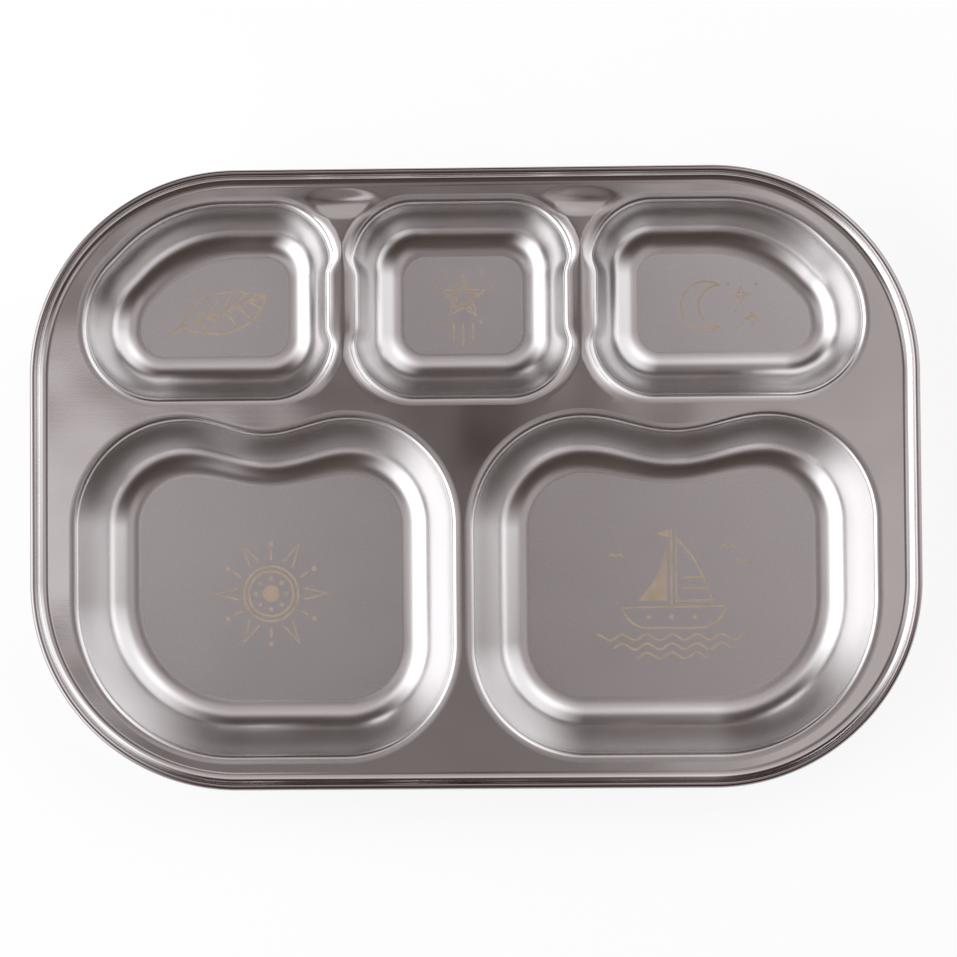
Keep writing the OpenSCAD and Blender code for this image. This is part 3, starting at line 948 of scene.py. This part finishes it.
def boat_motif():
    bow, stern = [(10, -11.8), (14.2, -9.4), (17, -5.2)], [(-15.5, -5.5), (-12.8, -9.6), (-9, -11.8)]
    hull = [*bent(stern), *bent(bow)]
    main = [(1.4, -3.4), (1.4, 16), *bent([(1.4, 16), (7.4, 8.4), (12.6, -3.4)])[1:]]
    fore = [(-1.4, -3.4), (-1.4, 12.6), *bent([(-1.4, 12.6), (-4.6, 4), (-10.4, -3.4)])[1:]]
    lines = [[(0, -4.5), (0, 18.4)], [(3.4, 3.6), (9.6, 3.6)], [(3.4, 0.4), (11, 0.4)]]
    for left, right, low in ((-23, 23, -14.6), (-18, 18, -17.4), (-11, 11, -20.2)):
        xs = np.linspace(left, right, 8 * int(right - left) // 4)
        lines.append([(x, low + 0.9 * math.cos(2 * math.pi * x / 7.6)) for x in xs])
    for x, y in ((-17, 10), (17.5, 12.5), (21.5, 8)):
        lines.append(bent([(x - 2.4, y), (x - 1.1, y + 1), (x, y), (x + 1.1, y + 1), (x + 2.4, y)], 4))
    holes = [arc((x, -8.4), 0.8, 0, 330, 11) for x in (-7, 0, 7)]
    return [hull, main], lines, [*holes, fore, [(-0.7, 18.4), (-0.7, 15.8), (-4.9, 17.1)]]


def leaf_motif():
    upper = bent([(-13.4, -4.6), (-7, 3.6), (2, 6.4), (13.4, 5)])
    lower = bent([(13.4, 5), (9.4, -2.4), (1, -6.4), (-7.4, -6.2), (-13.4, -4.6)])
    lines = [bent([(-16.4, -7), (-13.4, -4.6), (-2, -0.6), (13.4, 5)])]
    for x, rise, drop in ((-8.4, 3.2, -3), (-4.2, 4.8, -4), (0, 5, -4.2), (4.2, 4, -3.4), (8, 2.6, -2.2)):
        y = -0.6 + 0.36 * (x + 2)
        lines.append(bent([(x, y), (x + 1.2, y + rise * 0.55), (x + 3, y + rise)], 4))
        lines.append(bent([(x, y), (x + 2, y + drop * 0.35), (x + 4.2, y + drop)], 4))
    dots = [arc((x, y), 0.5, 0, 315, 7) for x, y in ((-11, 5), (-8.4, 7), (10.6, -4.6), (13, -2.6))]
    return [upper[:-1] + lower[:-1]], lines, dots


def star_motif():
    closed = [star_points((0, 2.4), 7, 3, 5), star_points((0, 2.4), 4.4, 1.9, 5)]
    lines = [[(x, -5.6), (x, -5.6 - fall)] for x, fall in ((-3, 3.4), (0, 5.4), (3, 3.4))]
    dots = [arc((x, -6.6 - fall), 0.6, 0, 315, 7) for x, fall in ((-3, 3.4), (0, 5.4), (3, 3.4))]
    turns = (18, 54, 126, 162, 234, 306)
    dots += [arc(9.4 * unit(math.radians(a)) + (0, 2.4), 0.6, 0, 315, 7) for a in turns]
    return closed, lines, dots


def moon_motif():
    crescent = [*arc((-3.6, 0), 7.6, 57.3, 302.7, 40), *arc((0.6, 0), 6.4, 269.1, 90.9, 32)[1:-1]]
    small = [star_points((7.2, 3.4), 2.6, 0.9, 4), star_points((10.6, -4), 1.9, 0.7, 4)]
    dots = [arc((x, y), 0.55, 0, 315, 7) for x, y in ((3.4, 6.8), (12, 6.6), (5.4, -1.6), (6, -6.8))]
    return [crescent, *small], [], dots


MOTIFS = {"front_left": sun_motif, "front_right": boat_motif, "back_left": leaf_motif,
          "back_centre": star_motif, "back_right": moon_motif}


def line_edges(line, closed, width):
    """Left and right edges of a line, mitred where it bends."""
    ahead = unit_rows(np.roll(line, -1, 0) - line)
    behind = np.roll(ahead, 1, 0)
    if not closed:
        ahead[-1], behind[0] = behind[-1], ahead[0]
    across = unit_rows(ahead + behind)[:, ::-1] * (-1, 1)
    square = (across * ahead[:, ::-1] * (-1, 1)).sum(1)
    reach = across * (width / 2 / np.maximum(square, MITRE_LIMIT))[:, None]
    return line + reach, line - reach


def raised_marks(motif, place, width, low, high):
    """Points and faces of a motif's lines and filled shapes, as closed solids between two heights.

    Each solid's top lies a hair above the last one's, so that no two share a face where they cross.
    """
    closed_lines, open_lines, shapes = motif()
    points, faces, tops_at = [], [], [high]

    def add(flat, tops, loops):
        start, count = len(points), len(flat)
        tops_at.append(tops_at[-1] + TOP_STEP)
        for height in (tops_at[-1], low):
            points.extend((place[0] + p[0], place[1] + p[1], height) for p in flat)
        for face in tops:
            faces.append(tuple(start + i for i in face))
            faces.append(tuple(start + count + i for i in reversed(face)))
        for loop in loops:
            for a, b in zip(loop, loop[1:] + loop[:1]):
                faces.append((start + b, start + a, start + count + a, start + count + b))

    for lines, closed in ((closed_lines, True), (open_lines, False)):
        for line in lines:
            left, right = line_edges(np.array(line) * MM, closed, width)
            n = len(left)
            span = n if closed else n - 1
            tops = [(i, n + i, n + (i + 1) % n, (i + 1) % n) for i in range(span)]
            outer, inner = list(range(n, 2 * n)), list(range(n))[::-1]
            add([*left, *right], tops, [outer, inner] if closed else [outer + inner])
    for shape in shapes:
        flat = np.array(shape) * MM
        ahead = np.roll(flat, -1, 0)
        if (flat[:, 0] * ahead[:, 1] - flat[:, 1] * ahead[:, 0]).sum() < 0:
            flat = flat[::-1]
        ids = list(range(len(flat)))
        add(flat, [tuple(ids)], [ids])
    return points, faces


class TRAY_OT_etched_marks(bpy.types.Operator):
    """Etches a picture into the floor of each well"""

    bl_idname = "tray.etched_marks"
    bl_label = "Etched marks"

    def execute(self, context):
        sizes, finish = context.scene.tray_sizes, context.scene.steel_finish
        tan = etched("etched_tan", finish.mark_colour)
        for name in WELLS:
            floor = Well(name, sizes).floor
            place = (floor.min(0) + floor.max(0)) / 2 + np.array(MARK_SHIFTS[name]) * MM
            points, faces = raised_marks(MOTIFS[name], place, finish.line_width,
                                         SHEET - finish.mark_height, SHEET + finish.mark_height)
            marks = make_object(f"{name}_etching", points, faces)
            marks.data.materials.append(tan)
            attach(marks, BODY)
        return {"FINISHED"}


class TRAY_OT_stage(bpy.types.Operator):
    """Sets the pale floor, the light tent and the camera"""

    bl_idname = "tray.stage"
    bl_label = "Stage"

    def execute(self, context):
        scene, studio = context.scene, context.scene.studio_settings
        scene.view_settings.view_transform = "Standard"
        self.floor()
        self.tent(studio)
        world = bpy.data.worlds.new("pale_surround")
        world.use_nodes = True
        world.node_tree.nodes["Background"].inputs["Color"].default_value = (1, 1, 1, 1)
        scene.world = world
        data = bpy.data.cameras.new("camera")
        data.lens = studio.lens
        data.sensor_width = SENSOR_WIDTH
        data.clip_end = CAMERA_REACH
        camera = bpy.data.objects.new("camera", data)
        camera.location = CAMERA_PLACE
        camera.rotation_euler = [math.radians(turn) for turn in CAMERA_TURN]
        scene.collection.objects.link(camera)
        scene.camera = camera
        return {"FINISHED"}

    def floor(self):
        square = ((-1, -1), (1, -1), (1, 1), (-1, 1))
        corners = [(x * FLOOR_HALF, y * FLOOR_HALF, -FLOOR_DROP) for x, y in square]
        floor = make_object("floor", corners, [tuple(range(len(corners)))])
        pale = Finish("pale_floor", plain=True)
        nodes, links = pale.nodes, pale.links
        mix = nodes.new("ShaderNodeMixShader")
        plain = nodes.new("ShaderNodeBsdfDiffuse")
        plain.inputs["Color"].default_value = (*[FLOOR_GREY] * 3, 1)
        shade = nodes.new("ShaderNodeBsdfDiffuse")
        shade.inputs["Color"].default_value = (*[SEEN_GREY] * 3, 1)
        glow = nodes.new("ShaderNodeEmission")
        glow.inputs["Strength"].default_value = SEEN_GLOW
        both = nodes.new("ShaderNodeAddShader")
        path = nodes.new("ShaderNodeLightPath")
        seen = path.outputs["Is Camera Ray"]
        for ray in ("Is Glossy Ray", "Is Transmission Ray"):
            either = nodes.new("ShaderNodeMath")
            either.operation = "MAXIMUM"
            links.new(seen, either.inputs[0])
            links.new(path.outputs[ray], either.inputs[1])
            seen = either.outputs[0]
        links.new(seen, mix.inputs["Fac"])
        links.new(glow.outputs[0], both.inputs[0])
        links.new(shade.outputs[0], both.inputs[1])
        links.new(plain.outputs[0], mix.inputs[1])
        links.new(both.outputs[0], mix.inputs[2])
        links.new(mix.outputs[0], pale.out.inputs["Surface"])
        floor.data.materials.append(pale.made)

    def tent(self, studio):
        points, faces = [], []
        for height in np.linspace(0, math.pi / 2, TENT_ROWS + 1):
            for c in range(TENT_COLUMNS):
                flat = math.cos(height) * unit(2 * math.pi * c / TENT_COLUMNS)
                points.append((*flat, math.sin(height)))
        for start in range(0, TENT_ROWS * TENT_COLUMNS, TENT_COLUMNS):
            for c in range(TENT_COLUMNS):
                a, b = start + c, start + (c + 1) % TENT_COLUMNS
                faces.append((b, a, a + TENT_COLUMNS, b + TENT_COLUMNS))
        points = np.array(points)
        tent = make_object("light_tent", points * studio.tent_radius, faces)
        tent.data.validate()
        glow = tent.data.attributes.new("glow", "FLOAT", "POINT")
        glow.data.foreach_set("value", lights_in(points, studio).astype(np.float32))
        cloth = Finish("tent_cloth", plain=True)
        nodes, links = cloth.nodes, cloth.links
        light = nodes.new("ShaderNodeEmission")
        value = nodes.new("ShaderNodeAttribute")
        value.attribute_name = "glow"
        links.new(value.outputs["Fac"], light.inputs["Strength"])
        tint = nodes.new("ShaderNodeValToRGB")
        tint.color_ramp.elements[0].color = TINT_DIM
        tint.color_ramp.elements[1].color = TINT_FULL
        tint.color_ramp.elements.new(TINT_MIDDLE_AT).color = TINT_MIDDLE
        links.new(value.outputs["Fac"], tint.inputs["Fac"])
        links.new(tint.outputs["Color"], light.inputs["Color"])
        links.new(light.outputs[0], cloth.out.inputs["Surface"])
        cloth.made.cycles.emission_sampling = "NONE"
        tent.data.materials.append(cloth.made)
        tent.visible_camera = False


class TRAY_PT_panel(bpy.types.Panel):
    """Lists the steps that build the tray"""

    bl_label = "Pressed tray"
    bl_idname = "TRAY_PT_panel"
    bl_space_type = "VIEW_3D"
    bl_region_type = "UI"
    bl_category = "Tray"

    def draw(self, context):
        for step in STEPS:
            self.layout.operator(step.bl_idname)


STEPS = (TRAY_OT_rim, TRAY_OT_deck, TRAY_OT_well_sides, TRAY_OT_well_floors, TRAY_OT_etched_marks,
         TRAY_OT_stage)
CLASSES = (TraySizes, SteelFinish, StudioSettings, *STEPS, TRAY_PT_panel)


def register():
    for item in CLASSES:
        bpy.utils.register_class(item)
    bpy.types.Scene.tray_sizes = PointerProperty(type=TraySizes)
    bpy.types.Scene.steel_finish = PointerProperty(type=SteelFinish)
    bpy.types.Scene.studio_settings = PointerProperty(type=StudioSettings)


def unregister():
    del bpy.types.Scene.studio_settings
    del bpy.types.Scene.steel_finish
    del bpy.types.Scene.tray_sizes
    for item in reversed(CLASSES):
        bpy.utils.unregister_class(item)


def main():
    register()
    bpy.ops.tray.rim()
    bpy.ops.tray.deck()
    bpy.ops.tray.well_sides()
    bpy.ops.tray.well_floors()
    bpy.ops.tray.etched_marks()
    bpy.ops.tray.stage()
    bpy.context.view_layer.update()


if __name__ == "__main__":
    main()
